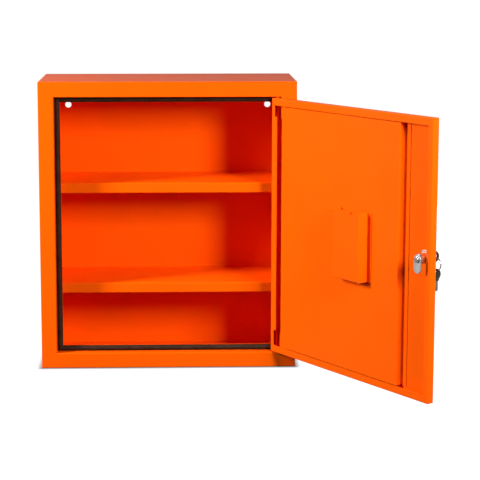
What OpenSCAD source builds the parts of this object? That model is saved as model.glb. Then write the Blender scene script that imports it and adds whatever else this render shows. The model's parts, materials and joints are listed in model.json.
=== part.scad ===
// Lockable medicine cabinet: folded sheet steel case with two shelves and one door.
// X runs to the right, Y to the back, Z up. The origin is the middle of the underside.
// The door is drawn closed round its hinge pins and then turned to its rest angle.

/* [Cabinet case] */
// Overall width
case_w = 400; // [320:10:600]
// Overall height
case_h = 453; // [400:1:700]
// Overall depth
case_d = 154; // [110:1:300]
// Thickness of every folded steel sheet
sheet = 1; // [0.7:0.1:1.4]
// Outside radius of the folds
fold_r = 1.5; // [1.4:0.1:2.5]
// Width of the flat frame round the door
frame_w = 24; // [18:1:40]
// Depth of the recess that the door closes into
rebate_depth = 17; // [16.5:0.5:24]
// Reach of the stop flange behind the door
stop_w = 9; // [9:0.5:12]
// Width of the flange that carries the back panel
rear_lip = 12; // [8:1:20]

/* [Wall holes] */
// Diameter of the two wall holes
wall_hole_d = 10; // [5:0.5:14]
// Distance from the side of the case to a wall hole
wall_hole_inset = 36.5; // [30:0.5:80]
// Distance from the top of the case to the wall holes
wall_hole_drop = 50.5; // [35:0.5:90]

/* [Door seal] */
// Width of the seal strip
seal_w = 8.4; // [5:0.1:8.6]
// Thickness of the seal strip
seal_t = 4.4; // [2:0.1:4.6]

/* [Shelves] */
// Height of the lower shelf surface above the underside
lower_shelf_z = 130; // [60:1:150]
// Height of the upper shelf surface above the underside
upper_shelf_z = 290.5; // [200:0.5:340]
// Distance from the cabinet front to the shelf front
shelf_setback = 32; // [26:1:60]
// Height of the folded front of a shelf
shelf_front = 16; // [10:1:30]
// Width of the hem folded back under the shelf front
shelf_hem = 8; // [4:1:15]
// Gap between a shelf end and the case
shelf_side_gap = 0.5; // [0.2:0.1:2]
// Leg length of the angles that carry the shelves
support_leg = 14; // [8:1:25]
// Distance from the shelf folds to the ends of those angles
support_end_gap = 4; // [1:1:15]

/* [Door] */
// Angle that the door stands open at rest
door_open = 125; // [0:1:125]
// Gap all round the closed door
door_gap = 1.5; // [1:0.1:3]
// Thickness of the folded door
door_t = 11.4; // [9:0.1:11.6]
// Width of the lip on the hinge side
hinge_lip = 12.2; // [10:0.1:18]
// Width of the lip on the lock side
free_lip = 9; // [5:0.5:9]
// Width of the lips at the top and bottom of the door
end_lip = 11; // [8:0.5:16]

/* [Hinge pins] */
// Diameter of the hinge pins
pin_d = 4; // [3:0.1:4]
// Distance from the hinge side of the door to the pin axis
pin_inset = 4.3; // [4.2:0.1:5]
// Distance from the outer skin of the door to the pin axis
pin_depth = 3.2; // [3.1:0.05:3.3]
// Length of each pin inside the door
pin_inside = 36; // [25:1:60]
// Length of each pin past the frame sheet
pin_reach = 4; // [2:0.5:8]
// Radial clearance of a pin in the frame
pin_clearance = 0.05; // [0.02:0.01:0.1]
// Diameter of the collar that the door stands on
collar_d = 5.8; // [5:0.1:6]
// Gap under that collar
collar_gap = 0.1; // [0.05:0.05:0.3]
// Distance from the door end to the cut in the hinge lip
cut_start = 11; // [8:0.5:20]
// Length of the cut at the upper pin
upper_cut_l = 17.5; // [10:0.5:30]
// Length of the cut at the lower pin
lower_cut_l = 25; // [15:0.5:35]
// Depth of the cuts in the hinge lip
cut_depth = 5.4; // [3.5:0.1:5.8]
// Corner radius of the cut at the upper pin
upper_cut_r = 1; // [0.5:0.1:3]
// Corner radius of the cut at the lower pin
lower_cut_r = 3.4; // [0.5:0.1:3.4]

/* [Inner door panel] */
// Gap between the hinge lip and the panel
slit_w = 11.6; // [5:0.1:15]
// Open channel between the panel and the lock side lip
channel_w = 55; // [48:1:90]
// Gap between the panel and the end lips
panel_gap = 1.2; // [0.5:0.1:3]
// Flange that fixes the panel in the lock side channel
channel_flange = 11; // [6:0.5:15]
// Flange that fixes the panel in the hinge side slit
slit_flange = 7.5; // [3:0.5:8]

/* [Sheet pocket] */
// Width of the pocket
pocket_w = 58; // [40:1:90]
// Height of the pocket
pocket_h = 102.5; // [60:0.5:140]
// Depth of the pocket
pocket_d = 17.3; // [10:0.1:17.5]
// Distance from the lock side of the panel to the pocket
pocket_inset = 63.5; // [20:0.5:70]
// Height of the pocket above the bottom of the door
pocket_rise = 151.5; // [80:0.5:160]
// Width of the flanges that fix the pocket
pocket_flange = 8; // [5:0.5:15]
// Width of the two cuts in the top edge
pocket_cut_w = 6; // [3:0.5:10]
// Depth of those cuts
pocket_cut_d = 4; // [2:0.5:10]
// Distance from the lock side of the pocket to its second cut
pocket_cut_inset = 15; // [8:1:25]

/* [Lock] */
// Distance from the lock side edge of the door to the lock axis
lock_inset = 17; // [17:0.1:19]
// Height of the lock axis above the bottom of the door
lock_rise = 204.8; // [150:0.1:220]
// Diameter of the lock barrel
barrel_d = 16; // [15.4:0.1:16.4]
// Width of the barrel across its two flats
barrel_flats = 14; // [13.4:0.1:14.4]
// Diameter of the bezel in front of the door
bezel_d = 20; // [18:0.5:24]
// Thickness of the bezel
bezel_t = 2.5; // [2:0.1:3.5]
// Diameter of the turning plug
plug_d = 12; // [11.7:0.1:12.2]
// Diameter of the rim on the front of the plug
plug_rim_d = 13.4; // [13:0.1:13.6]
// Thickness of that rim
plug_rim_t = 1; // [0.6:0.1:1.3]
// Radial clearance of the plug in the barrel
plug_clearance = 0.05; // [0.02:0.01:0.1]
// Width of the square tail of the plug
tail_w = 7; // [6:0.1:8]
// Gap between the stop flange and the cam behind it
cam_gap = 0.5; // [0.4:0.1:1.5]
// Thickness of the cam
cam_t = 2; // [1.5:0.1:3]
// Width of the cam
cam_w = 13.5; // [12.5:0.5:14]
// Distance from the lock axis to the cam tip
cam_l = 20; // [17:0.5:24]
// Thickness of the horseshoe clip that holds the barrel
clip_t = 1.2; // [0.8:0.1:1.6]
// Outside width of the clip
clip_w = 20; // [19:0.5:24]
// Height of the clip
clip_h = 20.5; // [20:0.5:26]
// Corner radius of the clip
clip_r = 4; // [1:0.5:5]
// Depth of the barrel grooves that the clip slides in
clip_groove = 1; // [0.5:0.1:1.2]

/* [Cam screw] */
// Diameter of the screw thread
screw_d = 4; // [3:0.1:4.5]
// Length of the thread in the plug
screw_l = 7; // [5:0.5:7.5]
// Diameter of the screw head
screw_head_d = 8; // [6:0.1:9]
// Thickness of the screw head
screw_head_t = 2.5; // [1.8:0.1:3.5]
// Width of the hexagon socket across its corners
socket_d = 3; // [2:0.1:4]
// Depth of that socket
socket_depth = 1.6; // [1:0.1:1.7]
// Diameter of the washer under the screw head
washer_d = 9.4; // [8:0.1:11]
// Thickness of that washer
washer_t = 0.8; // [0.5:0.1:1.2]

/* [Wafers] */
// Number of wafers in the plug
wafer_n = 5; // [3:1:5]
// Thickness of a wafer
wafer_t = 0.9; // [0.6:0.1:1]
// Width of a wafer
wafer_w = 5.2; // [4.6:0.1:5.2]
// Height of a wafer
wafer_h = 10.4; // [10:0.1:10.4]
// Distance from one wafer to the next
wafer_pitch = 2.4; // [2.1:0.1:2.4]
// Clearance round a wafer in the plug
wafer_clearance = 0.05; // [0.02:0.01:0.1]

/* [Keys] */
// Thickness of the key blades
blade_t = 2; // [1.6:0.1:2.2]
// Height of the key blades
blade_h = 7.6; // [6.6:0.1:7.8]
// Length of blade inside the plug
blade_l = 14; // [12:0.1:14.2]
// Clearance round a blade in the keyway
key_clearance = 0.3; // [0.2:0.05:0.4]
// Diameter of the moulded key heads
head_d = 16.6; // [15:0.1:20]
// Thickness of the key heads
head_t = 4; // [3.5:0.1:5]
// Length of the neck between head and blade
neck_l = 2; // [2:0.5:5]
// Height of that neck
neck_h = 10; // [9:0.5:12]
// Gap between the neck and the bezel
neck_gap = 0.4; // [0.3:0.1:2]
// Length of blade moulded into the head
blade_root = 5; // [3:0.5:6]
// Diameter of the ring hole in a key head
ring_hole_d = 5.4; // [4.8:0.1:6]
// Distance from the end of a key head to that hole
ring_hole_edge = 1.6; // [1.2:0.1:2.5]
// Diameter of the ring wire
wire_d = 1.2; // [1:0.1:1.4]
// Diameter of the ring to the middle of its wire
ring_d = 19; // [18:0.5:30]
// Gap between the ring wire and the edge of a key hole
ring_gap = 0.65; // [0.5:0.05:0.8]

/* [Hidden] */

$fn = 48;
// Straight pieces in a quarter of a fold, and in half of a rounded strip
fold_steps = 5;
strip_steps = 12;
// Extra length of cutting shapes past the face that they cut
past = 1;

// Distance from one turn of the ring wire to the next, in wire diameters
wire_turn = 0.92;
// How far the round key head reaches down the neck, and the neck up into the head
head_drop = 1;
neck_rise = 2;

// Clearances inside the lock
hole_clearance = 0.1;
cam_running_gap = 0.3;
rim_gap = 0.1;
plug_recess = 0.3;
// Bitting of the keys
first_cut = 2;
cut_base = 0.7;
cut_step = 0.3;
tip_chamfer = 2;

powder_orange = [1, 0.4, 0];
shaded_orange = [0.93, 0.35, 0];
seal_black = [0.1, 0.09, 0.08];
bright_metal = [0.75, 0.76, 0.78];
dark_metal = [0.55, 0.56, 0.58];
brass_yellow = [0.8, 0.65, 0.35];
head_black = [0.08, 0.08, 0.08];

// Case
front_y = -case_d / 2;
back_y = case_d / 2;
inner_w = case_w - 2 * sheet;
inner_h = case_h - 2 * sheet;
open_w = case_w - 2 * frame_w;
open_h = case_h - 2 * frame_w;
stop_back = rebate_depth + sheet;
back_panel_y = back_y - 2 * sheet;
back_panel_gap = 0.2;

// Shelves
shelf_y = front_y + shelf_setback;
shelf_d = back_panel_y - shelf_y;
shelf_w = inner_w - 2 * shelf_side_gap;
support_y = shelf_y + shelf_hem + support_end_gap;
support_back_y = back_panel_y - sheet - support_end_gap;

// Door, in its own frame: X to the hinge side, Y into the case, both from the pin axis
door_w = open_w - 2 * door_gap;
door_h = open_h - 2 * door_gap;
door_z = frame_w + door_gap;
pin_x = open_w / 2 - door_gap - pin_inset;
pin_y = front_y + pin_depth;
skin_y = -pin_depth;
hinge_edge = pin_inset;
free_edge = pin_inset - door_w;
lip_y = skin_y + door_t;

// Inner panel and pocket
panel_hinge = hinge_edge - hinge_lip - slit_w;
panel_free = free_edge + free_lip + channel_w;
panel_w = panel_hinge - panel_free;
panel_z = door_z + end_lip + panel_gap;
panel_h = door_h - 2 * (end_lip + panel_gap);
pocket_x = panel_free + pocket_inset + pocket_w / 2;
pocket_z = door_z + pocket_rise;

// Lock, measured into the case from the outer skin
lock_x = free_edge + lock_inset;
lock_z = door_z + lock_rise;
cam_y = stop_back + cam_gap;
barrel_l = cam_y - cam_running_gap;
plug_front = bezel_t - plug_recess;
rim_seat = plug_front - plug_rim_t - rim_gap;
washer_y = cam_y + cam_t;
head_y = washer_y + washer_t;
keyway_w = blade_t + 2 * key_clearance;
keyway_h = blade_h + 2 * key_clearance;
blade_tip = blade_l - plug_front;
first_wafer = blade_tip - first_cut - (wafer_n - 1) * wafer_pitch;

// Keys
neck_y = -bezel_t - neck_gap;
blade_reach = blade_tip - neck_y;
head_centre = neck_l + head_d / 2 - head_drop;
ring_hole = head_centre + head_d / 2 - ring_hole_edge - ring_hole_d / 2;
wire_step = wire_d * wire_turn / 2;
wire_drop = ring_hole_d / 2 - wire_d / 2 - ring_gap;
ring_y = neck_y - ring_hole;
ring_z = -wire_drop - ring_d / 2;
spare_z = ring_z - ring_d / 2 - wire_drop;

// Points of a quarter turn about a centre
function quarter(x, y, r, start) = [
    for (i = [0 : fold_steps])
        let (a = start + 90 * i / fold_steps)
        [x + r * cos(a), y + r * sin(a)]
];

// Rectangle with rounded corners, centred
module rounded_rect(w, h, r) {
    x = w / 2 - r;
    y = h / 2 - r;
    polygon(concat(quarter(x, y, r, 0), quarter(-x, y, r, 90),
                   quarter(-x, -y, r, 180), quarter(x, -y, r, 270)));
}

// Extrude an outline drawn in X and Z from one Y to another
module along_y(y0, y1) {
    translate([0, y1, 0])
        rotate([90, 0, 0])
            linear_extrude(height = y1 - y0)
                children();
}

// Extrude an outline drawn in Y and Z from one X to another
module along_x(x0, x1) {
    translate([x0, 0, 0])
        rotate([90, 0, 90])
            linear_extrude(height = x1 - x0)
                children();
}

// Box with every edge rounded, centred on X, from the origin to the back and up
module folded_block(w, d, h, r) {
    intersection() {
        linear_extrude(height = h)
            translate([0, d / 2])
                rounded_rect(w, d, r);
        along_y(0, d)
            translate([0, h / 2])
                rounded_rect(w, h, r);
        along_x(-w / 2, w / 2)
            translate([d / 2, h / 2])
                rounded_rect(d, h, r);
    }
}

// Box centred on X and on a height
module bar(w, y0, y1, z_mid, h) {
    translate([-w / 2, y0, z_mid - h / 2])
        cube([w, y1 - y0, h]);
}

// Rod along Y
module rod_y(r, y0, y1) {
    along_y(y0, y1)
        circle(r);
}

// What the fold takes off the two upright edges of the door opening
module upright_edge_cuts(l) {
    for (side = [-1, 1])
        difference() {
            translate([side * (open_w + fold_r) / 2, fold_r / 2 - past / 2, 0])
                cube([fold_r, fold_r + past, l], center = true);
            translate([side * (open_w / 2 + fold_r), fold_r, 0])
                cylinder(h = l + 2 * past, r = fold_r, center = true);
        }
}

// What the fold takes off the two level edges of the door opening
module level_edge_cuts(l) {
    for (side = [-1, 1])
        difference() {
            translate([0, fold_r / 2 - past / 2, side * (open_h + fold_r) / 2])
                cube([l, fold_r + past, fold_r], center = true);
            translate([0, fold_r, side * (open_h / 2 + fold_r)])
                rotate([0, 90, 0])
                    cylinder(h = l + 2 * past, r = fold_r, center = true);
        }
}

// Rounding of the whole edge of the door opening, its corners mitred
module opening_edge_cuts() {
    upright_edge_cuts(open_h);
    level_edge_cuts(open_w);
    intersection() {
        upright_edge_cuts(open_h + 2 * fold_r);
        level_edge_cuts(open_w + 2 * fold_r);
    }
}

// Four walls, front frame, door recess and stop flange, folded from sheet and welded
module case_shell() {
    mid = case_h / 2;
    color(powder_orange)
        difference() {
            translate([0, front_y, 0])
                folded_block(case_w, case_d, case_h, fold_r);
            difference() {
                bar(inner_w, front_y + sheet, back_y - sheet, mid, inner_h);
                bar(open_w + 2 * sheet, front_y, front_y + stop_back, mid, open_h + 2 * sheet);
            }
            bar(open_w, front_y - past, front_y + rebate_depth, mid, open_h);
            bar(open_w - 2 * stop_w, front_y, front_y + stop_back + past, mid, open_h - 2 * stop_w);
            bar(case_w - 2 * rear_lip, back_y - 2 * sheet, back_y + past, mid, case_h - 2 * rear_lip);
            translate([0, front_y, mid])
                opening_edge_cuts();
            translate([pin_x, pin_y, sheet + past])
                cylinder(h = case_h - 2 * (sheet + past), r = pin_d / 2 + pin_clearance);
        }
}

// Flat back with the two wall holes
module back_panel() {
    z = case_h - wall_hole_drop;
    color(shaded_orange)
        difference() {
            bar(inner_w - 2 * back_panel_gap, back_panel_y, back_panel_y + sheet,
                case_h / 2, inner_h - 2 * back_panel_gap);
            for (side = [-1, 1])
                translate([side * (case_w / 2 - wall_hole_inset), 0, z])
                    rod_y(wall_hole_d / 2, back_panel_y - past, back_panel_y + sheet + past);
        }
}

// Half round outline of the seal strip, its flat side on Y = 0
module seal_outline() {
    polygon([
        for (i = [0 : strip_steps])
            let (a = 180 * i / strip_steps)
            [seal_w / 2 * cos(a), -seal_t * sin(a)]
    ]);
}

// Rubber strip glued to the stop flange all round
module door_seal() {
    edge_gap = stop_w - seal_w;
    across = open_w / 2 - edge_gap / 2 - seal_w / 2;
    up = open_h / 2 - edge_gap / 2 - seal_w / 2;
    color(seal_black)
        translate([0, front_y + rebate_depth, case_h / 2]) {
            for (side = [0, 180])
                rotate([0, side, 0])
                    seal_upright(across, up);
            for (side = [90, 270])
                rotate([0, side, 0])
                    seal_upright(up, across);
        }
}

// Seal strip at a distance from the middle, long enough to meet its neighbours' corners
module seal_upright(reach, half) {
    outer = seal_w / 2;
    intersection() {
        translate([reach, 0, -half - outer])
            linear_extrude(height = 2 * (half + outer))
                seal_outline();
        along_y(-seal_t - past, past)
            polygon([[reach - outer, half - outer], [reach + outer, half + outer],
                     [reach + outer, -half - outer], [reach - outer, -half + outer]]);
    }
}

// Folded shelf: plate, front, hem and rear flange
module shelf(top) {
    color(powder_orange)
        along_x(-shelf_w / 2, shelf_w / 2)
            translate([shelf_y, top - shelf_front])
                difference() {
                    translate([shelf_d / 2, shelf_front / 2])
                        rounded_rect(shelf_d, shelf_front, fold_r);
                    translate([sheet, sheet])
                        square([shelf_d - 2 * sheet, shelf_front - 2 * sheet]);
                    translate([shelf_hem, -past])
                        square([shelf_d - shelf_hem - sheet, 2 * past + sheet]);
                }
}

module upper_shelf() {
    shelf(upper_shelf_z);
}

module lower_shelf() {
    shelf(lower_shelf_z);
}

// Angle welded to the case wall under a shelf end, on the side -1 or 1
module shelf_support(side, top) {
    wall_x = inner_w / 2;
    leg_top = top - sheet;
    color(shaded_orange)
        along_y(support_y, support_back_y) {
            translate([side > 0 ? wall_x - sheet : -wall_x, leg_top - support_leg])
                square([sheet, support_leg]);
            translate([side > 0 ? wall_x - support_leg : -wall_x, leg_top - sheet])
                square([support_leg, sheet]);
        }
}

module upper_left_support() {
    shelf_support(-1, upper_shelf_z);
}

module upper_right_support() {
    shelf_support(1, upper_shelf_z);
}

module lower_left_support() {
    shelf_support(-1, lower_shelf_z);
}

module lower_right_support() {
    shelf_support(1, lower_shelf_z);
}

// Put a piece drawn on the closed door, from the pin axis, where the door stands
module on_door() {
    translate([pin_x, pin_y, 0])
        rotate([0, 0, door_open])
            children();
}

// Put a piece drawn round the lock axis, Y into the case from the outer skin, on the door
module on_lock() {
    on_door()
        translate([lock_x, skin_y, lock_z])
            children();
}

// Cut in the hinge lip that bares a pin, its inner corners rounded
module lip_cut(z, l, r) {
    translate([hinge_edge - hinge_lip, 0, z + l / 2])
        along_y(lip_y - 2 * sheet, lip_y + past)
            rounded_rect(2 * cut_depth, l, r);
}

// Outline of the hole that keeps the lock barrel from turning
module barrel_outline(clearance) {
    intersection() {
        circle(barrel_d / 2 + clearance);
        square([barrel_flats + 2 * clearance, 2 * barrel_d], center = true);
    }
}

// Door tray: outer skin, four folded sides and their lips
module door_skin() {
    mid_x = (hinge_edge + free_edge) / 2;
    window_x = free_edge + free_lip;
    window_w = door_w - free_lip - hinge_lip;
    color(powder_orange)
        on_door()
            difference() {
                translate([mid_x, skin_y, door_z])
                    folded_block(door_w, door_t, door_h, fold_r);
                translate([free_edge + sheet, skin_y + sheet, door_z + sheet])
                    cube([door_w - 2 * sheet, door_t - 2 * sheet, door_h - 2 * sheet]);
                translate([window_x, lip_y - 2 * sheet, door_z + end_lip])
                    cube([window_w, 2 * sheet + past, door_h - 2 * end_lip]);
                lip_cut(door_z + door_h - cut_start - upper_cut_l, upper_cut_l, upper_cut_r);
                lip_cut(door_z + cut_start, lower_cut_l, lower_cut_r);
                translate([0, 0, door_z - past])
                    cylinder(h = door_h + 2 * past, r = pin_d / 2);
                translate([lock_x, 0, lock_z])
                    along_y(skin_y - past, skin_y + sheet + past)
                        barrel_outline(hole_clearance);
            }
}

// Raised stiffening panel inside the door, a hat section with two flanges
module door_inner_panel() {
    depth = door_t - sheet;
    color(powder_orange)
        on_door()
            translate([0, 0, panel_z])
                linear_extrude(height = panel_h)
                    translate([panel_free, skin_y + sheet]) {
                        difference() {
                            translate([panel_w / 2, depth - fold_r])
                                rounded_rect(panel_w, 2 * fold_r, fold_r);
                            translate([sheet, -past])
                                square([panel_w - 2 * sheet, depth - sheet + past]);
                        }
                        translate([-channel_flange, 0])
                            square([channel_flange + sheet, sheet]);
                        translate([panel_w - sheet, 0])
                            square([slit_flange + sheet, sheet]);
                        square([sheet, depth - fold_r]);
                        translate([panel_w - sheet, 0])
                            square([sheet, depth - fold_r]);
                    }
}

// Open topped pocket for the contents list, with a flange on each side
module sheet_pocket() {
    cut_x = pocket_cut_inset - pocket_w / 2;
    color(powder_orange)
        on_door()
            translate([pocket_x, lip_y, pocket_z])
                difference() {
                    union() {
                        folded_block(pocket_w, pocket_d, pocket_h, fold_r);
                        translate([-pocket_w / 2 - pocket_flange, 0, 0])
                            cube([pocket_w + 2 * pocket_flange, sheet, pocket_h]);
                    }
                    translate([-pocket_w / 2 + sheet, -past, sheet])
                        cube([pocket_w - 2 * sheet, pocket_d - sheet + past, pocket_h]);
                    for (x = [pocket_w / 2 - sheet - pocket_cut_w, cut_x])
                        translate([x, pocket_d - sheet - past, pocket_h - pocket_cut_d])
                            cube([pocket_cut_w, sheet + 2 * past, pocket_cut_d + past]);
                }
}

// Upper hinge pin, welded to the skin and standing up into the frame
module upper_hinge_pin() {
    color(bright_metal)
        on_door()
            translate([0, 0, door_z + door_h - pin_inside])
                cylinder(h = pin_inside + door_gap + sheet + pin_reach, r = pin_d / 2);
}

// Lower hinge pin, with the collar that the door stands on
module lower_hinge_pin() {
    color(bright_metal)
        on_door() {
            translate([0, 0, frame_w - sheet - pin_reach])
                cylinder(h = pin_reach + sheet + door_gap + pin_inside, r = pin_d / 2);
            translate([0, 0, frame_w + collar_gap])
                cylinder(h = door_gap - collar_gap, r = collar_d / 2);
        }
}

// Lock barrel with its bezel, bored for the plug and grooved for the clip
module lock_body() {
    groove_x = barrel_flats / 2 - clip_groove;
    color(bright_metal)
        on_lock()
            difference() {
                union() {
                    rod_y(bezel_d / 2, -bezel_t, 0);
                    along_y(-past, barrel_l)
                        barrel_outline(0);
                }
                rod_y(plug_d / 2 + plug_clearance, -bezel_t - past, barrel_l + past);
                rod_y(plug_rim_d / 2 + plug_clearance, -bezel_t - past, -rim_seat);
                for (side = [-1, 1])
                    translate([side * (groove_x + barrel_d / 2), sheet + clip_t / 2, 0])
                        cube([barrel_d, clip_t, 2 * barrel_d], center = true);
            }
}

// Horseshoe clip that holds the barrel against the inside of the skin
module lock_clip() {
    gap = barrel_flats - 2 * clip_groove;
    color(dark_metal)
        on_lock()
            along_y(sheet, sheet + clip_t)
                difference() {
                    translate([0, (clip_h - clip_w) / 2])
                        rounded_rect(clip_w, clip_h, clip_r);
                    translate([-gap / 2, -clip_w])
                        square([gap, clip_w + barrel_d / 2 + hole_clearance]);
                }
}

// Wafers, or with a clearance the slots that they stand in
module wafer_row(clearance) {
    for (i = [0 : wafer_n - 1])
        translate([0, first_wafer + i * wafer_pitch, 0])
            cube([wafer_w + 2 * clearance, wafer_t + 2 * clearance, wafer_h + 2 * clearance],
                 center = true);
}

// Room for the key in the plug and through the wafers
module keyway() {
    translate([-keyway_w / 2, -plug_front - past, -keyway_h / 2])
        cube([keyway_w, past + blade_l + key_clearance, keyway_h]);
}

// Turning plug with its front rim and square tail
module lock_plug() {
    color(bright_metal)
        on_lock()
            difference() {
                union() {
                    rod_y(plug_d / 2, -plug_front, barrel_l);
                    rod_y(plug_rim_d / 2, -plug_front, plug_rim_t - plug_front);
                    along_y(barrel_l - past, washer_y)
                        square(tail_w, center = true);
                }
                keyway();
                wafer_row(wafer_clearance);
                rod_y(screw_d / 2, washer_y - screw_l, washer_y + past);
            }
}

// Brass wafers that the key lifts clear of the barrel
module lock_wafers() {
    color(brass_yellow)
        on_lock()
            difference() {
                wafer_row(0);
                keyway();
            }
}

// Cam that swings behind the stop flange, hanging down when unlocked
module lock_cam() {
    color(dark_metal)
        on_lock()
            along_y(cam_y, cam_y + cam_t)
                difference() {
                    union() {
                        circle(cam_w / 2);
                        translate([-cam_w / 2, cam_w / 2 - cam_l])
                            square([cam_w, cam_l - cam_w / 2]);
                        translate([0, cam_w / 2 - cam_l])
                            circle(cam_w / 2);
                    }
                    square(tail_w, center = true);
                }
}

// Spring washer under the screw head
module cam_washer() {
    color(bright_metal)
        on_lock()
            difference() {
                rod_y(washer_d / 2, washer_y, head_y);
                rod_y(screw_d / 2, washer_y - past, head_y + past);
            }
}

// Screw that holds the cam, with a hexagon socket
module cam_screw() {
    color(bright_metal)
        on_lock()
            difference() {
                union() {
                    rod_y(screw_d / 2, washer_y - screw_l, head_y + past);
                    rod_y(screw_head_d / 2, head_y, head_y + screw_head_t);
                }
                along_y(head_y + screw_head_t - socket_depth, head_y + screw_head_t + past)
                    circle(socket_d / 2, $fn = 6);
            }
}

// Key blade along -Z from its neck at the origin, its root reaching up into the head
module blade(l) {
    half = wafer_pitch / 2;
    along_x(-blade_t / 2, blade_t / 2)
        difference() {
            translate([-blade_h / 2, -l])
                square([blade_h, l + neck_l + blade_root]);
            for (i = [0 : wafer_n - 1])
                translate([blade_h / 2, first_cut - l + i * wafer_pitch])
                    polygon([[past, half], [-cut_base - cut_step * (i % 3), 0], [past, -half]]);
            translate([-blade_h / 2, -l])
                polygon([[-past, -past], [tip_chamfer, -past], [-past, tip_chamfer]]);
        }
}

// Moulded head above the neck, with its ring hole and room for the blade root
module head() {
    difference() {
        along_x(-head_t / 2, head_t / 2)
            difference() {
                union() {
                    translate([0, head_centre])
                        circle(head_d / 2);
                    translate([-neck_h / 2, 0])
                        square([neck_h, neck_l + neck_rise]);
                }
                translate([0, ring_hole])
                    circle(ring_hole_d / 2);
            }
        translate([-blade_t / 2, -blade_h / 2, -past])
            cube([blade_t, blade_h, past + neck_l + blade_root]);
    }
}

// Put a key drawn upright in the lock
module in_lock() {
    on_lock()
        translate([0, neck_y, 0])
            rotate([90, 0, 0])
                children();
}

// Put a key drawn upright on the ring, hanging by its hole
module on_ring() {
    on_lock()
        translate([0, ring_y, spare_z - ring_hole])
            children();
}

module key_blade() {
    color(bright_metal)
        in_lock()
            blade(blade_reach);
}

module key_head() {
    color(head_black)
        in_lock()
            head();
}

// Split ring of two turns of wire through both key heads
module key_ring() {
    color(bright_metal)
        on_lock()
            translate([0, ring_y, ring_z])
                rotate([90, 0, 0])
                    rotate_extrude()
                        for (side = [-1, 1])
                            translate([ring_d / 2, side * wire_step])
                                circle(wire_d / 2);
}

module spare_key_blade() {
    color(bright_metal)
        on_ring()
            blade(blade_reach);
}

module spare_key_head() {
    color(head_black)
        on_ring()
            head();
}

case_shell();
back_panel();
door_seal();
upper_shelf();
lower_shelf();
upper_left_support();
upper_right_support();
lower_left_support();
lower_right_support();
door_skin();
door_inner_panel();
sheet_pocket();
upper_hinge_pin();
lower_hinge_pin();
lock_body();
lock_clip();
lock_plug();
lock_wafers();
lock_cam();
cam_washer();
cam_screw();
key_blade();
key_head();
key_ring();
spare_key_blade();
spare_key_head();
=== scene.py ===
"""Looks of the lockable medicine cabinet: materials, lock and key details, camera and light."""
import json
import math

import bmesh
import bpy
from mathutils import Matrix, Vector
from mathutils.geometry import tessellate_polygon


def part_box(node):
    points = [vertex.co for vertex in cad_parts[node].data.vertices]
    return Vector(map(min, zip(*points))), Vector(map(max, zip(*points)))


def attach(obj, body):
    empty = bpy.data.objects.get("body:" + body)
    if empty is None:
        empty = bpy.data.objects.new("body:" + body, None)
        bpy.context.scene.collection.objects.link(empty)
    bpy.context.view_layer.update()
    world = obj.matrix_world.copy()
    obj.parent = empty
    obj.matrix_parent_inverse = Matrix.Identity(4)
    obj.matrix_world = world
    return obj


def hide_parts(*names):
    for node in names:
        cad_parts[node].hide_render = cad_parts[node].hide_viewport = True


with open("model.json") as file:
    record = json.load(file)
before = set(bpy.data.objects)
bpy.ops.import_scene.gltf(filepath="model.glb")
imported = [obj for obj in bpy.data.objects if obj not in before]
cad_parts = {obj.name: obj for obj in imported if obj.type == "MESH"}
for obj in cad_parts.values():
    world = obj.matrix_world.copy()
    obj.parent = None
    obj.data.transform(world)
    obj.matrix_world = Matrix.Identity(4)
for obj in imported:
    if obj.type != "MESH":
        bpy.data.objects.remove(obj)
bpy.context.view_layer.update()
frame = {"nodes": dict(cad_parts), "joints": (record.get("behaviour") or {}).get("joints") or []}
scene = bpy.context.scene

# Camera at the photo's viewpoint, in metres
CAMERA_PLACE = (0.007, -2.327, 0.649)
CAMERA_YAW = math.radians(-1.53)
CAMERA_PITCH = math.radians(-8.35)
CAMERA_SHIFT = (0.06, -0.15)
FOCAL_PX = 1466.0
FRAME_PX = 480.0
SENSOR_MM = 36.0


def photo_camera():
    """Camera whose focal length is given in pixels of the photo."""
    data = bpy.data.cameras.new("camera")
    data.sensor_width = SENSOR_MM
    data.lens = FOCAL_PX / FRAME_PX * SENSOR_MM
    data.shift_x, data.shift_y = CAMERA_SHIFT
    camera = bpy.data.objects.new("camera", data)
    camera.location = CAMERA_PLACE
    camera.rotation_euler = (math.pi / 2 + CAMERA_PITCH, 0, CAMERA_YAW)
    scene.collection.objects.link(camera)
    return camera


scene.camera = photo_camera()


# Helpers for materials
def new_material(name):
    """Empty material with its node tree and its shader."""
    material = bpy.data.materials.new(name)
    material.use_nodes = True
    tree = material.node_tree
    shader = tree.nodes["Principled BSDF"]
    return material, tree, shader


def set_inputs(shader, **values):
    """Constant inputs of a shader, with _ for the spaces in their names."""
    for name, value in values.items():
        shader.inputs[name.replace("_", " ")].default_value = value


def noise(tree, scale, detail=2.0, roughness=0.5, stretch=(1, 1, 1)):
    """Noise from 0 to 1, its scale in spots to a metre."""
    coords = tree.nodes.new("ShaderNodeTexCoord")
    mapping = tree.nodes.new("ShaderNodeMapping")
    mapping.inputs["Scale"].default_value = stretch
    texture = tree.nodes.new("ShaderNodeTexNoise")
    texture.inputs["Scale"].default_value = scale
    texture.inputs["Detail"].default_value = detail
    texture.inputs["Roughness"].default_value = roughness
    tree.links.new(coords.outputs["Object"], mapping.inputs["Vector"])
    tree.links.new(mapping.outputs["Vector"], texture.inputs["Vector"])
    return texture.outputs["Fac"]


def ramp(tree, source, low, high, start=0.3, end=0.7):
    """Colour that goes from low to high while the source goes from start to end."""
    node = tree.nodes.new("ShaderNodeValToRGB")
    node.color_ramp.elements[0].position = start
    node.color_ramp.elements[1].position = end
    node.color_ramp.elements[0].color = (*low, 1)
    node.color_ramp.elements[1].color = (*high, 1)
    tree.links.new(source, node.inputs["Fac"])
    return node.outputs["Color"]


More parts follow.
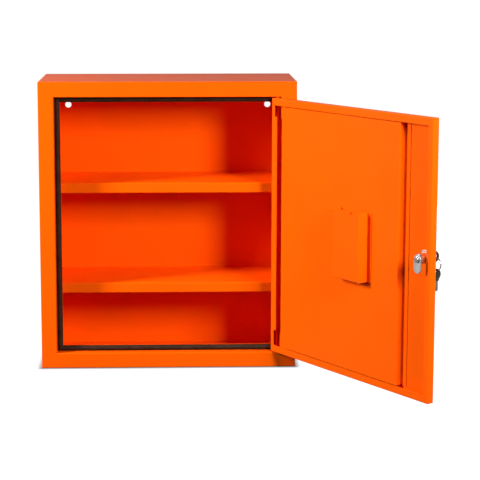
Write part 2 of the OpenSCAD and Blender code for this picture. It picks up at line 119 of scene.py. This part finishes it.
def map_range(tree, source, low, high, start=0.3, end=0.7):
    """Value that goes from low to high while the source goes from start to end."""
    node = tree.nodes.new("ShaderNodeMapRange")
    node.inputs["From Min"].default_value = start
    node.inputs["From Max"].default_value = end
    node.inputs["To Min"].default_value = low
    node.inputs["To Max"].default_value = high
    tree.links.new(source, node.inputs["Value"])
    return node.outputs["Result"]


def add(tree, first, second):
    """Sum of two values."""
    node = tree.nodes.new("ShaderNodeMath")
    node.operation = "ADD"
    tree.links.new(first, node.inputs[0])
    tree.links.new(second, node.inputs[1])
    return node.outputs["Value"]


def surface(tree, shader, tint, gloss, relief, strength, depth):
    """Shader's colour, roughness and relief, the depth of the relief in metres."""
    tree.links.new(tint, shader.inputs["Base Color"])
    tree.links.new(gloss, shader.inputs["Roughness"])
    bump = tree.nodes.new("ShaderNodeBump")
    bump.inputs["Strength"].default_value = strength
    bump.inputs["Distance"].default_value = depth
    tree.links.new(relief, bump.inputs["Height"])
    tree.links.new(bump.outputs["Normal"], shader.inputs["Normal"])


# Materials
FINER = 6


def powder_coat():
    """Orange coat with a fine grain, its highlights tinted like the coat."""
    material, tree, shader = new_material("powder_coat")
    set_inputs(shader, IOR=1.45, Specular_IOR_Level=0.30, Specular_Tint=(1.0, 0.4, 0.06, 1))
    patches = noise(tree, scale=9.0, detail=3.0)
    tint = ramp(tree, patches, low=(0.86, 0.094, 0.001), high=(0.90, 0.102, 0.001))
    gloss = map_range(tree, noise(tree, scale=30.0, detail=3.0), low=0.28, high=0.36)
    grain = noise(tree, scale=700.0, detail=2.0, roughness=0.45)
    surface(tree, shader, tint, gloss, grain, strength=0.16, depth=0.0004)
    return material


def rubber():
    """Dark matt rubber of the door seal."""
    material, tree, shader = new_material("seal_rubber")
    set_inputs(shader, IOR=1.5, Specular_IOR_Level=0.12)
    patches = noise(tree, scale=60.0, detail=4.0)
    tint = ramp(tree, patches, low=(0.018, 0.008, 0.004), high=(0.036, 0.018, 0.010))
    gloss = map_range(tree, noise(tree, scale=200.0, detail=3.0), low=0.5, high=0.66)
    grain = noise(tree, scale=1400.0, detail=3.0)
    surface(tree, shader, tint, gloss, grain, strength=0.3, depth=0.0002)
    return material


def moulded_plastic():
    """Near-black plastic of the key heads."""
    material, tree, shader = new_material("key_plastic")
    set_inputs(shader, IOR=1.5, Specular_IOR_Level=0.45)
    patches = noise(tree, scale=120.0, detail=3.0)
    tint = ramp(tree, patches, low=(0.012, 0.012, 0.010), high=(0.022, 0.022, 0.018))
    gloss = map_range(tree, noise(tree, scale=400.0, detail=3.0), low=0.42, high=0.58)
    grain = noise(tree, scale=2600.0, detail=2.0)
    surface(tree, shader, tint, gloss, grain, strength=0.35, depth=0.0001)
    return material


def metal(name, low, high, rough, scale=150.0, stretch=(1, 1, 1)):
    """Bare or plated metal whose colour and roughness follow one grain, with a finer one as relief."""
    material, tree, shader = new_material(name)
    set_inputs(shader, Metallic=1.0)
    grain = noise(tree, scale, detail=4.0, roughness=0.6, stretch=stretch)
    tint = ramp(tree, grain, low, high)
    gloss = map_range(tree, grain, *rough)
    scratches = noise(tree, scale * FINER, detail=3.0, roughness=0.6, stretch=stretch)
    surface(tree, shader, tint, gloss, scratches, strength=0.15, depth=0.0001)
    return material


POWDER = powder_coat()
RUBBER = rubber()
PLASTIC = moulded_plastic()
NICKEL = metal("lock_nickel", (0.70, 0.67, 0.63), (0.80, 0.78, 0.74), rough=(0.16, 0.28))
BRASS = metal("wafer_brass", (0.64, 0.43, 0.16), (0.74, 0.53, 0.22), rough=(0.22, 0.34))
ZINC = metal("zinc_steel", (0.62, 0.63, 0.65), (0.76, 0.77, 0.78), rough=(0.28, 0.42), scale=60.0)
CAM_STEEL = metal("cam_steel", (0.40, 0.41, 0.40), (0.48, 0.49, 0.48), rough=(0.40, 0.52),
                  scale=90.0, stretch=(1, 1, 0.15))
KEY_STEEL = metal("key_steel", (0.66, 0.65, 0.62), (0.78, 0.77, 0.74), rough=(0.16, 0.28),
                  scale=120.0, stretch=(0.2, 0.2, 1))

# Every node that isn't named here is powder coated
FINISHES = {
    "door_seal": RUBBER, "lock_clip": ZINC, "cam_washer": ZINC,
    "lock_body": NICKEL, "lock_plug": NICKEL, "cam_screw": NICKEL,
    "lock_wafers": BRASS, "lock_cam": CAM_STEEL,
    "key_blade": KEY_STEEL, "spare_key_blade": KEY_STEEL, "key_ring": KEY_STEEL,
    "key_head": PLASTIC, "spare_key_head": PLASTIC,
}

for name, node in frame["nodes"].items():
    node.data.materials.clear()
    node.data.materials.append(FINISHES.get(name, POWDER))

# Places of the door and the lock, in millimetres
MM = 0.001
TO_Z = Matrix.Rotation(math.pi / 2, 4, "X")
TO_SIDE = Matrix.Rotation(math.pi / 2, 4, "Z")
JOINTS = {joint["name"]: joint for joint in frame["joints"]}


def joint_place(name):
    """Place of a joint at rest."""
    return Vector(JOINTS[name]["pos_m"]) / MM


PIN_AXIS = Vector((*joint_place("door_hinge").xy, 0))
DOOR_OPEN = math.radians(-JOINTS["door_hinge"]["range_deg"][0])
DOOR_TURN = Matrix.Rotation(DOOR_OPEN, 4, "Z")
DOOR = Matrix.Translation(PIN_AXIS) @ DOOR_TURN
LOCK = Matrix.Translation(joint_place("lock_turn")) @ DOOR_TURN

# Helpers for meshes, in millimetres
TURNED_POINTS = 48
HOLE_POINTS = 64
BEVEL_STEPS = 3
SHARP_EDGE = math.radians(38)
SHARPEST_CORNER = 0.5


def ring(y, radius, flat=None, sides=0):
    """Loop round Y: a circle, a circle with two flats across X, or a polygon by its corner radius."""
    points = []
    for i in range(TURNED_POINTS):
        angle = 2 * math.pi * i / TURNED_POINTS
        reach = radius
        if sides:
            part = 2 * math.pi / sides
            reach *= math.cos(part / 2) / math.cos(angle % part - part / 2)
        x = reach * math.cos(angle)
        if flat:
            x = max(-flat, min(flat, x))
        points.append((x, y, reach * math.sin(angle)))
    return points


def turned(section, angle):
    """Points of a section in radius and Y, turned round the Y axis."""
    return [(reach * math.cos(angle), y, reach * math.sin(angle)) for reach, y in section]


def skin(loops, closed=False):
    """Faces between loops of equal length, with end faces unless they close on themselves."""
    count = len(loops[0])
    verts = [point for loop in loops for point in loop]
    faces = []
    for i in range(len(loops) if closed else len(loops) - 1):
        a = i * count
        b = (i + 1) % len(loops) * count
        for j in range(count):
            k = (j + 1) % count
            faces.append((a + j, a + k, b + k, b + j))
    if not closed:
        faces.append(tuple(range(count)))
        faces.append(tuple(range(len(verts) - count, len(verts))))
    return verts, faces


def arc(x, y, radius, start, end, steps=6):
    """Points of an arc, its angles in degrees."""
    angles = [math.radians(start + (end - start) * i / steps) for i in range(steps + 1)]
    return [(x + radius * math.cos(angle), y + radius * math.sin(angle)) for angle in angles]


def disc(z, radius):
    """Outline of a disc on the middle line."""
    return arc(0, z, radius, 0, 360, HOLE_POINTS)[:-1]


def hole(z, radius):
    """Outline of a round hole on the middle line, which runs the other way."""
    return arc(0, z, radius, 0, -360, HOLE_POINTS)[:-1]


def inset(outline, distance):
    """Outline moved towards its left, where the solid is, and held back at very sharp corners."""
    moved = []
    for i, (x, z) in enumerate(outline):
        before = Vector((x, z)) - Vector(outline[i - 1])
        after = Vector(outline[(i + 1) % len(outline)]) - Vector((x, z))
        before.normalize()
        after.normalize()
        both = before + after
        shift = 2 * distance / max(both.length_squared, SHARPEST_CORNER)
        moved.append((x - both.y * shift, z + both.x * shift))
    return moved


def plate(outlines, thickness, bevel, middle=0.0):
    """Sheet with rounded edges round Y = middle, from outlines in X and Z with the solid on their left."""
    edge = []
    for i in range(BEVEL_STEPS + 1):
        angle = math.pi / 2 * i / BEVEL_STEPS
        edge.append((bevel * (1 - math.sin(angle)), thickness / 2 - bevel * (1 - math.cos(angle))))
    layers = [(pull, middle - y) for pull, y in edge] + [(pull, middle + y) for pull, y in reversed(edge)]
    verts = []
    faces = []
    ends = {0: [], len(layers) - 1: []}
    for outline in outlines:
        base = len(verts)
        count = len(outline)
        for number, (pull, y) in enumerate(layers):
            start = len(verts)
            verts += [(x, y, z) for x, z in inset(outline, pull)]
            if number in ends:
                ends[number].append(range(start, start + count))
        for i in range(len(layers) - 1):
            for j in range(count):
                a = base + i * count
                k = (j + 1) % count
                faces.append((a + j, a + k, a + count + k, a + count + j))
    for loops in ends.values():
        flat = [i for loop in loops for i in loop]
        for triangle in tessellate_polygon([[Vector(verts[i]) for i in loop] for loop in loops]):
            faces.append(tuple(flat[i] for i in triangle))
    return verts, faces


def reordered(part, order):
    """Part with its axes in another order."""
    verts, faces = part
    return [tuple(point[i] for i in order) for point in verts], faces


def piece(name, parts, place, material, body, slot, *replaced):
    """One object made of parts in millimetres, put in its place and riding a body."""
    verts = []
    faces = []
    for part_verts, part_faces in parts:
        base = len(verts)
        verts += [(place @ Vector(point)) * MM for point in part_verts]
        faces += [tuple(base + i for i in face) for face in part_faces]
    mesh = bpy.data.meshes.new(name)
    mesh.from_pydata(verts, [], faces)
    work = bmesh.new()
    work.from_mesh(mesh)
    bmesh.ops.recalc_face_normals(work, faces=work.faces)
    work.to_mesh(mesh)
    work.free()
    mesh.polygons.foreach_set("use_smooth", [True] * len(mesh.polygons))
    mesh.set_sharp_from_angle(angle=SHARP_EDGE)
    mesh.materials.append(material)
    obj = bpy.data.objects.new(name, mesh)
    scene.collection.objects.link(obj)
    normals = obj.modifiers.new("normals", "WEIGHTED_NORMAL")
    normals.keep_sharp = True
    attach(obj, body)
    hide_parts(*replaced)


# Hinge pins: heights of their ends, and easings as pairs of distance along the pin and cut off the radius
PIN_R = 2.0
PIN_EASING = ((0.0, 0.5), (0.25, 0.13), (0.6, 0.0))
UPPER_PIN = (391.5, 434.0)
LOWER_PIN = (19.0, 61.5)
COLLAR = (24.1, 25.5)
COLLAR_R = 2.9
COLLAR_EASE = 0.2


def collar_loops(low, high):
    """Loops of the collar, with its two rims eased."""
    below = [ring(low, PIN_R), ring(low, COLLAR_R - COLLAR_EASE), ring(low + COLLAR_EASE, COLLAR_R)]
    above = [ring(high - COLLAR_EASE, COLLAR_R), ring(high, COLLAR_R - COLLAR_EASE), ring(high, PIN_R)]
    return below + above


def pin(low, high, collar=()):
    """Pin along Y with eased ends, and loops of a collar between them."""
    foot = [ring(low + along, PIN_R - cut) for along, cut in PIN_EASING]
    top = [ring(high - along, PIN_R - cut) for along, cut in reversed(PIN_EASING)]
    return skin([*foot, *collar, *top])


piece("upper_pin_rod", [pin(*UPPER_PIN)], DOOR @ TO_Z, POWDER, "door", "orange_coat", "upper_hinge_pin")
piece("lower_pin_rod", [pin(*LOWER_PIN, collar_loops(*COLLAR))], DOOR @ TO_Z, POWDER,
      "door", "orange_coat", "lower_hinge_pin")

# Sheet pocket: outer sizes, the outer radius of a fold and the inner radius at a flange
SHEET = 1.0
FOLD = 1.5
FLANGE_FOLD = 0.8
POCKET_HALF = 29.0
POCKET_D = 17.3
POCKET_H = 102.5
POCKET_FLANGE = 8.0
FLANGE_LIFT = 0.5
FLOOR_GAP = 0.1
SIDE_BEVEL = 0.15
POCKET_BEVEL = 0.1
CORNER_NOTCH = 22.0
SMALL_NOTCH = (-14.0, -8.0)
NOTCH_D = 4.0
POCKET_PLACE = (-188.2, 8.2, 177.0)
POCKET = DOOR @ Matrix.Translation(POCKET_PLACE)


def pocket_side(side):
    """Flange, side wall and front fold of the pocket; the flange edge stands a little off the panel."""
    tip = POCKET_HALF + POCKET_FLANGE
    root = (POCKET_HALF + FLANGE_FOLD, SHEET + FLANGE_FOLD)
    front = (POCKET_HALF - FOLD, POCKET_D - FOLD)
    outline = [(tip, FLANGE_LIFT), (tip, FLANGE_LIFT + SHEET)]
    outline += arc(*root, FLANGE_FOLD, 270, 180)
    outline += arc(*front, FOLD, 0, 90)
    outline += arc(*front, FOLD - SHEET, 90, 0)
    outline += arc(*root, FLANGE_FOLD + SHEET, 180, 270)
    if side < 0:
        outline = [(-x, y) for x, y in reversed(outline)]
    return reordered(plate([outline], POCKET_H, SIDE_BEVEL, POCKET_H / 2), (0, 2, 1))


def pocket_front():
    """Flat front between the folds, with a notch at one corner and a small one in its top edge."""
    half = POCKET_HALF - FOLD
    cut = POCKET_H - NOTCH_D
    left, right = SMALL_NOTCH
    outline = [(-half, FOLD), (half, FOLD), (half, cut), (CORNER_NOTCH, cut), (CORNER_NOTCH, POCKET_H)]
    outline += [(right, POCKET_H), (right, cut), (left, cut), (left, POCKET_H), (-half, POCKET_H)]
    return plate([outline], SHEET, POCKET_BEVEL, POCKET_D - SHEET / 2)


def pocket_floor():
    """Bottom of the pocket with the fold up to its front."""
    front = (POCKET_D - FOLD, FOLD)
    outline = [(FLOOR_GAP, 0), *arc(*front, FOLD, 270, 360)]
    outline += [*arc(*front, FOLD - SHEET, 360, 270), (FLOOR_GAP, SHEET)]
    return reordered(plate([outline], 2 * (POCKET_HALF - FOLD), POCKET_BEVEL), (1, 0, 2))


piece("folded_pocket", [pocket_side(1), pocket_side(-1), pocket_front(), pocket_floor()], POCKET,
      POWDER, "door", "orange_coat", "sheet_pocket")

# Lock, along Y from the outer face of the door to the cam

# Barrel: each rim holds pairs of Y and the change from its radius
BEZEL_R = 10.0
BEZEL_RIM = ((0.0, 0.1), (-0.1, 0.0), (-1.7, 0.0), (-2.15, 0.15), (-2.42, 0.5), (-2.5, 0.9))
MOUTH_R = 6.75
MOUTH_RIM = ((-2.5, 0.3), (-2.4, 0.05), (-2.2, 0.0), (-1.1, 0.0))
PLUG_SEAT = -1.1
BORE_R = 6.05
BORE_CHAMFER = (0.3, 0.25)
BARREL_R = 8.0
BARREL_FLAT = 7.0
BARREL_EASE = 0.6
BARREL_END = 18.2
GROOVE = (1.0, 2.2)
GROOVE_FLAT = 6.0

# Clip: outer sizes, the slot for the barrel and the rounding inside its feet
CLIP_HALF = 10.0
CLIP_LOW = -10.0
CLIP_HIGH = 10.5
CLIP_CORNER = 4.0
CLIP_FOOT = 1.0
CLIP_SLOT = 6.0
CLIP_SLOT_TOP = 8.1
CLIP_T = 1.2
CLIP_BEVEL = 0.2
CLIP_STEPS = 8

# Cam, with half the width of its square hole
CAM_Y = 18.5
CAM_T = 2.0
CAM_HALF = 6.75
CAM_REACH = 13.25
CAM_BEVEL = 0.35
CAM_STEPS = 32
SQUARE_HALF = 3.5

# Spring washer, with the width of its cut in degrees
WASHER_Y = CAM_Y + CAM_T
WASHER_T = 0.8
WASHER_IN = 2.15
WASHER_OUT = 4.7
WASHER_CHAMFER = (0.15, 0.1)
WASHER_SPRUNG = 0.16
WASHER_CUT = 8
WASHER_STEPS = 72

# Screw: pairs of depth below the top with the cut off the radius, and with the corner radius of the socket
THREAD_R = 2.0
THREAD_L = 7.0
THREAD_EASE = 0.3
HEAD_Y = WASHER_Y + WASHER_T
HEAD_T = 2.5
SCREW_R = 4.0
SCREW_EASE = 0.2
SCREW_RIM = ((0.7, 0.0), (0.3, 0.13), (0.08, 0.4), (0.0, 0.8))
SOCKET = ((0.0, 1.85), (0.15, 1.5), (1.6, 1.5), (1.9, 0.3))
SOCKET_SIDES = 6


def barrel():
    """Bezel and barrel with two flats, the clip grooves and the bore for the plug."""
    bezel = [ring(y, BEZEL_R - cut) for y, cut in BEZEL_RIM]
    mouth = [ring(y, MOUTH_R + wider) for y, wider in MOUTH_RIM]
    along, wider = BORE_CHAMFER
    bore = [
        ring(PLUG_SEAT, BORE_R), ring(BARREL_END - along, BORE_R), ring(BARREL_END, BORE_R + wider),
    ]
    end = [
        ring(BARREL_END, BARREL_R - BARREL_EASE, BARREL_FLAT - BARREL_EASE),
        ring(BARREL_END - BARREL_EASE, BARREL_R, BARREL_FLAT),
    ]
    front, back = GROOVE
    groove = [
        ring(back, BARREL_R, BARREL_FLAT), ring(back, BARREL_R, GROOVE_FLAT),
        ring(front, BARREL_R, GROOVE_FLAT), ring(front, BARREL_R, BARREL_FLAT),
    ]
    return skin([*bezel, *mouth, *bore, *end, *groove, ring(0, BARREL_R, BARREL_FLAT)], closed=True)


def clip():
    """Horseshoe clip, open below, pushed into the grooves of the barrel."""
    side = CLIP_HALF - CLIP_CORNER
    shoulder = CLIP_HIGH - CLIP_CORNER
    hip = CLIP_LOW + CLIP_CORNER
    inner = CLIP_SLOT + CLIP_FOOT
    foot = CLIP_LOW + CLIP_FOOT
    outline = arc(side, shoulder, CLIP_CORNER, 0, 90, CLIP_STEPS)
    outline += arc(-side, shoulder, CLIP_CORNER, 90, 180, CLIP_STEPS)
    outline += arc(-side, hip, CLIP_CORNER, 180, 270, CLIP_STEPS)
    outline += arc(-inner, foot, CLIP_FOOT, 270, 360, CLIP_STEPS)[1:]
    outline += [(-CLIP_SLOT, CLIP_SLOT_TOP), (CLIP_SLOT, CLIP_SLOT_TOP)]
    outline += arc(inner, foot, CLIP_FOOT, 180, 270, CLIP_STEPS)
    outline += arc(side, hip, CLIP_CORNER, 270, 360, CLIP_STEPS)[1:]
    return plate([outline], CLIP_T, CLIP_BEVEL, sum(GROOVE) / 2)


def cam():
    """Stadium of stamped steel with the square hole for the tail of the plug."""
    outline = arc(0, 0, CAM_HALF, 0, 180, CAM_STEPS) + arc(0, -CAM_REACH, CAM_HALF, 180, 360, CAM_STEPS)
    square = [(SQUARE_HALF * x, SQUARE_HALF * z) for x, z in ((1, 1), (1, -1), (-1, -1), (-1, 1))]
    return plate([outline, square], CAM_T, CAM_BEVEL, CAM_Y + CAM_T / 2)


def spring_washer():
    """Washer cut through once, its two ends sprung apart."""
    across, along = WASHER_CHAMFER
    rim = WASHER_OUT - across
    loops = []
    for i in range(WASHER_STEPS + 1):
        share = i / WASHER_STEPS
        low = WASHER_Y + WASHER_SPRUNG * share
        high = low + WASHER_T - WASHER_SPRUNG
        section = [(WASHER_IN, low), (rim, low), (WASHER_OUT, low + along)]
        section += [(WASHER_OUT, high - along), (rim, high), (WASHER_IN, high)]
        loops.append(turned(section, math.radians(WASHER_CUT / 2 + (360 - WASHER_CUT) * share)))
    return skin(loops)


def screw():
    """Cylinder head with an eased rim and a hexagon socket, on its thread."""
    tip = WASHER_Y - THREAD_L
    top = HEAD_Y + HEAD_T
    thread = [ring(tip, THREAD_R - THREAD_EASE), ring(tip + THREAD_EASE, THREAD_R), ring(HEAD_Y, THREAD_R)]
    foot = [ring(HEAD_Y, SCREW_R - SCREW_EASE), ring(HEAD_Y + SCREW_EASE, SCREW_R)]
    rim = [ring(top - depth, SCREW_R - cut) for depth, cut in SCREW_RIM]
    socket = [ring(top - depth, corner, sides=SOCKET_SIDES) for depth, corner in SOCKET]
    return skin([*thread, *foot, *rim, *socket])


piece("lock_barrel", [barrel()], LOCK, NICKEL, "door", "lock_nickel", "lock_body")
piece("barrel_clip", [clip()], LOCK, ZINC, "door", "zinc_steel", "lock_clip")
piece("cam_plate", [cam()], LOCK, CAM_STEEL, "lock_plug", "cam_steel", "lock_cam")
piece("spring_washer", [spring_washer()], LOCK, ZINC, "lock_plug", "zinc_steel", "cam_washer")
piece("socket_screw", [screw()], LOCK, NICKEL, "lock_plug", "lock_nickel", "cam_screw")

# Keys, with X across the key and Z from the neck to the top of the head

# Head: a body, a raised rim and a second rim round the hole for the ring
NECK_Y = -2.9
NECK_HALF = 5.0
HEAD_R = 8.3
HEAD_MID = 9.3
HEAD_STEPS = 56
RIM_T = 4.0
RIM_IN = 6.85
RIM_BEVEL = 0.5
CORE_T = 2.9
CORE_INSET = 0.2
CORE_BEVEL = 0.2
KEY_HOLE_R = 2.7
KEY_HOLE_WALL = 1.6
KEY_HOLE = HEAD_MID + HEAD_R - KEY_HOLE_WALL - KEY_HOLE_R
EYE_R = 4.1

# Blade: the milled groove and the cuts, each cut deeper by a step than the one before, in threes
BLADE_HALF = 3.8
BLADE_END = -14.7
BLADE_ROOT = 7.0
BLADE_T = 2.0
BLADE_BEVEL = 0.15
TIP_EDGE = 0.4
TIP_BACK = 1.0
MILLED = (-0.9, 0.7)
MILLED_T = 1.2
MILLED_BEVEL = 0.1
CUTS = 5
CUT_START = 2.0
CUT_PITCH = 2.4
CUT_LEAST = 0.7
CUT_STEP = 0.3
CUT_LEVELS = 3
CUT_FLAT = 0.12

# Split ring: its turns, the angle of its ends, and the half turns each way in which it changes sides
RING_R = 9.5
RING_PLAY = 0.65
RING_TURNS = 1.985
RING_CUT = math.radians(155)
RING_SWAP = 0.11
RING_STEP = 0.55
RING_STEPS = 192
WIRE_R = 0.6
WIRE_SIDES = 14
WIRE_DROP = KEY_HOLE_R - WIRE_R - RING_PLAY
RING_Y = NECK_Y - KEY_HOLE
RING_Z = -WIRE_DROP - RING_R
SPARE_Z = RING_Z - RING_R - WIRE_DROP
IN_LOCK = LOCK @ Matrix.Translation((0, NECK_Y, 0)) @ TO_Z @ TO_SIDE
ON_RING = LOCK @ Matrix.Translation((0, RING_Y, SPARE_Z - KEY_HOLE)) @ TO_SIDE
RING_MIDDLE = LOCK @ Matrix.Translation((0, RING_Y, RING_Z))


def bow(radius, neck, foot):
    """Outline of a round key head on its neck."""
    meet = math.degrees(math.acos(neck / radius))
    return [(-neck, foot), (neck, foot)] + arc(0, HEAD_MID, radius, -meet, 180 + meet, HEAD_STEPS)


def key_head():
    """Moulded head: a body with a raised rim all round and round the ring hole."""
    core = bow(HEAD_R - CORE_INSET, NECK_HALF - CORE_INSET, CORE_INSET)
    ring_hole = hole(KEY_HOLE, KEY_HOLE_R)
    return [
        plate([core, ring_hole], CORE_T, CORE_BEVEL),
        plate([bow(HEAD_R, NECK_HALF, 0.0), hole(HEAD_MID, RIM_IN)], RIM_T, RIM_BEVEL),
        plate([disc(KEY_HOLE, EYE_R), ring_hole], RIM_T, RIM_BEVEL),
    ]


def bitted_edge():
    """Blade edge from the tip up, with its cuts."""
    points = []
    for i in range(CUTS):
        depth = CUT_LEAST + CUT_STEP * (i % CUT_LEVELS)
        bottom = BLADE_HALF - depth + CUT_FLAT
        middle = BLADE_END + CUT_START + CUT_PITCH * i
        half = CUT_PITCH / 2 * depth / (depth + 1)
        points += [(BLADE_HALF, middle - half), (bottom, middle - CUT_FLAT)]
        points += [(bottom, middle + CUT_FLAT), (BLADE_HALF, middle + half)]
    return points


def key_blade():
    """Flat blade with a milled groove along both sides."""
    low, high = MILLED
    corner = (TIP_BACK - BLADE_HALF, BLADE_END)
    back = [(-BLADE_HALF, BLADE_ROOT), (-BLADE_HALF, BLADE_END + TIP_BACK)]
    edge = [(BLADE_HALF - TIP_EDGE, BLADE_END), (BLADE_HALF, BLADE_END + TIP_EDGE), *bitted_edge(),
            (BLADE_HALF, BLADE_ROOT)]
    core = [corner, *edge, *back]
    upper = [(high, BLADE_END), *edge, (high, BLADE_ROOT)]
    lower = [corner, (low, BLADE_END), (low, BLADE_ROOT), *back]
    return [
        plate([core], MILLED_T, MILLED_BEVEL),
        plate([upper], BLADE_T, BLADE_BEVEL),
        plate([lower], BLADE_T, BLADE_BEVEL),
    ]


def split_ring():
    """Two turns of wire that change sides once, beside their cut ends."""
    loops = []
    for i in range(RING_STEPS + 1):
        half_turns = (2 * i / RING_STEPS - 1) * RING_TURNS
        swap = max(-1.0, min(1.0, half_turns / RING_SWAP))
        side = RING_STEP * math.sin(math.pi / 2 * swap)
        wire = arc(RING_R, side, WIRE_R, 0, 360, WIRE_SIDES)[:-1]
        loops.append(turned(wire, math.pi * half_turns + RING_CUT))
    return skin(loops)


for prefix, place, body in (("", IN_LOCK, "key"), ("spare_", ON_RING, "spare_key")):
    piece(prefix + "moulded_head", key_head(), place, PLASTIC, body, "key_plastic", prefix + "key_head")
    piece(prefix + "milled_blade", key_blade(), place, KEY_STEEL, body, "key_steel",
          prefix + "key_blade")
piece("split_ring", [split_ring()], RING_MIDDLE, KEY_STEEL, "key_ring", "key_steel", "key_ring")

# Light and stage, in metres and watts
CABINET_MIDDLE = (0.05, -0.1, 0.25)
BACK_MIDDLE = (0.1, -0.05, 0.21)
WHITE = (1, 1, 1, 1)
SEEN_WHITE = 1.1
FLOOR_HALF = 6.0
FLOOR_GREY = (0.12, 0.12, 0.12, 1)
# Width of the painted contact shadow on the floor
CONTACT_SHADOW = 0.010
BOUNCES = 12

# The case stands round the origin, so its highest corner gives half its width and half its depth
FOOTPRINT = (*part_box("case_shell")[1][:2], 0)


def area_light(name, place, target, size, power):
    """Rectangular light that faces its target."""
    data = bpy.data.lights.new(name, "AREA")
    data.shape = "RECTANGLE"
    data.size, data.size_y = size
    data.energy = power
    light = bpy.data.objects.new(name, data)
    light.location = place
    light.rotation_euler = (Vector(target) - Vector(place)).to_track_quat("-Z", "Y").to_euler()
    scene.collection.objects.link(light)


def studio_world():
    """White to the camera; the part is lit faintly from its sides and back, and mirrors a grey room."""
    world = bpy.data.worlds.new("studio")
    world.use_nodes = True
    tree = world.node_tree
    coords = tree.nodes.new("ShaderNodeTexCoord")
    split = tree.nodes.new("ShaderNodeSeparateXYZ")
    tree.links.new(coords.outputs["Generated"], split.inputs["Vector"])
    depth = split.outputs["Y"]
    path = tree.nodes.new("ShaderNodeLightPath")
    side_glow = map_range(tree, depth, low=0.002, high=0.05, start=-0.1, end=0.36)
    back_glow = map_range(tree, depth, low=0.0, high=0.08, start=0.75, end=1.0)
    room_glow = map_range(tree, path.outputs["Is Glossy Ray"], low=0.0, high=0.2, start=0.0, end=1.0)
    lit = tree.nodes["Background"]
    lit.inputs["Color"].default_value = WHITE
    tree.links.new(add(tree, add(tree, side_glow, back_glow), room_glow), lit.inputs["Strength"])
    seen = tree.nodes.new("ShaderNodeBackground")
    seen.inputs["Color"].default_value = WHITE
    seen.inputs["Strength"].default_value = SEEN_WHITE
    mix = tree.nodes.new("ShaderNodeMixShader")
    tree.links.new(path.outputs["Is Camera Ray"], mix.inputs["Fac"])
    tree.links.new(lit.outputs["Background"], mix.inputs[1])
    tree.links.new(seen.outputs["Background"], mix.inputs[2])
    tree.links.new(mix.outputs["Shader"], tree.nodes["World Output"].inputs["Surface"])
    return world


def vector_math(tree, operation, source, value=(0, 0, 0)):
    """Node that does one vector operation on a source."""
    node = tree.nodes.new("ShaderNodeVectorMath")
    node.operation = operation
    node.inputs[1].default_value = value
    tree.links.new(source, node.inputs[0])
    return node


def distance_from_case(tree):
    """Distance of a floor point from the footprint of the case."""
    place = tree.nodes.new("ShaderNodeTexCoord").outputs["Object"]
    mirrored = vector_math(tree, "ABSOLUTE", place).outputs["Vector"]
    beyond = vector_math(tree, "SUBTRACT", mirrored, FOOTPRINT).outputs["Vector"]
    outside = vector_math(tree, "MAXIMUM", beyond).outputs["Vector"]
    return vector_math(tree, "LENGTH", outside).outputs["Value"]


def floor_white():
    """White glowing floor with a painted contact shadow: its glow is dimmer in a narrow band round the
    case.
    """
    material, tree, shader = new_material("floor_white")
    set_inputs(shader, Roughness=0.9, Specular_IOR_Level=0.0, Base_Color=FLOOR_GREY, Emission_Color=WHITE)
    # Painted contact shadow: the glow rises from a tenth at the case to full at CONTACT_SHADOW metres away
    glow = map_range(tree, distance_from_case(tree), low=0.1, high=1.0, start=0.0, end=CONTACT_SHADOW)
    tree.links.new(glow, shader.inputs["Emission Strength"])
    return material


def add_floor():
    """Plain floor that casts no light on the part."""
    mesh = bpy.data.meshes.new("floor")
    corners = [(-FLOOR_HALF, -FLOOR_HALF, 0), (FLOOR_HALF, -FLOOR_HALF, 0)]
    corners += [(FLOOR_HALF, FLOOR_HALF, 0), (-FLOOR_HALF, FLOOR_HALF, 0)]
    mesh.from_pydata(corners, [], [(0, 1, 2, 3)])
    mesh.materials.append(floor_white())
    obj = bpy.data.objects.new("floor", mesh)
    obj.visible_diffuse = False
    obj.visible_glossy = False
    scene.collection.objects.link(obj)


area_light("right_softbox", (0.754, -1.118, 0.77), CABINET_MIDDLE, size=(0.30, 0.42), power=22.5)
area_light("left_softbox", (-1.156, -0.462, 0.795), CABINET_MIDDLE, size=(0.18, 0.5), power=35.5)
area_light("rear_softbox", (0.95, 1.25, 0.21), BACK_MIDDLE, size=(0.6, 0.34), power=30.0)
scene.world = studio_world()
add_floor()

# Plain colours, and enough bounces for the inside of the case
scene.view_settings.view_transform = "Standard"
scene.view_settings.look = "None"
scene.view_settings.exposure = 0.0
scene.view_settings.gamma = 1.0
scene.cycles.max_bounces = BOUNCES
scene.cycles.diffuse_bounces = BOUNCES
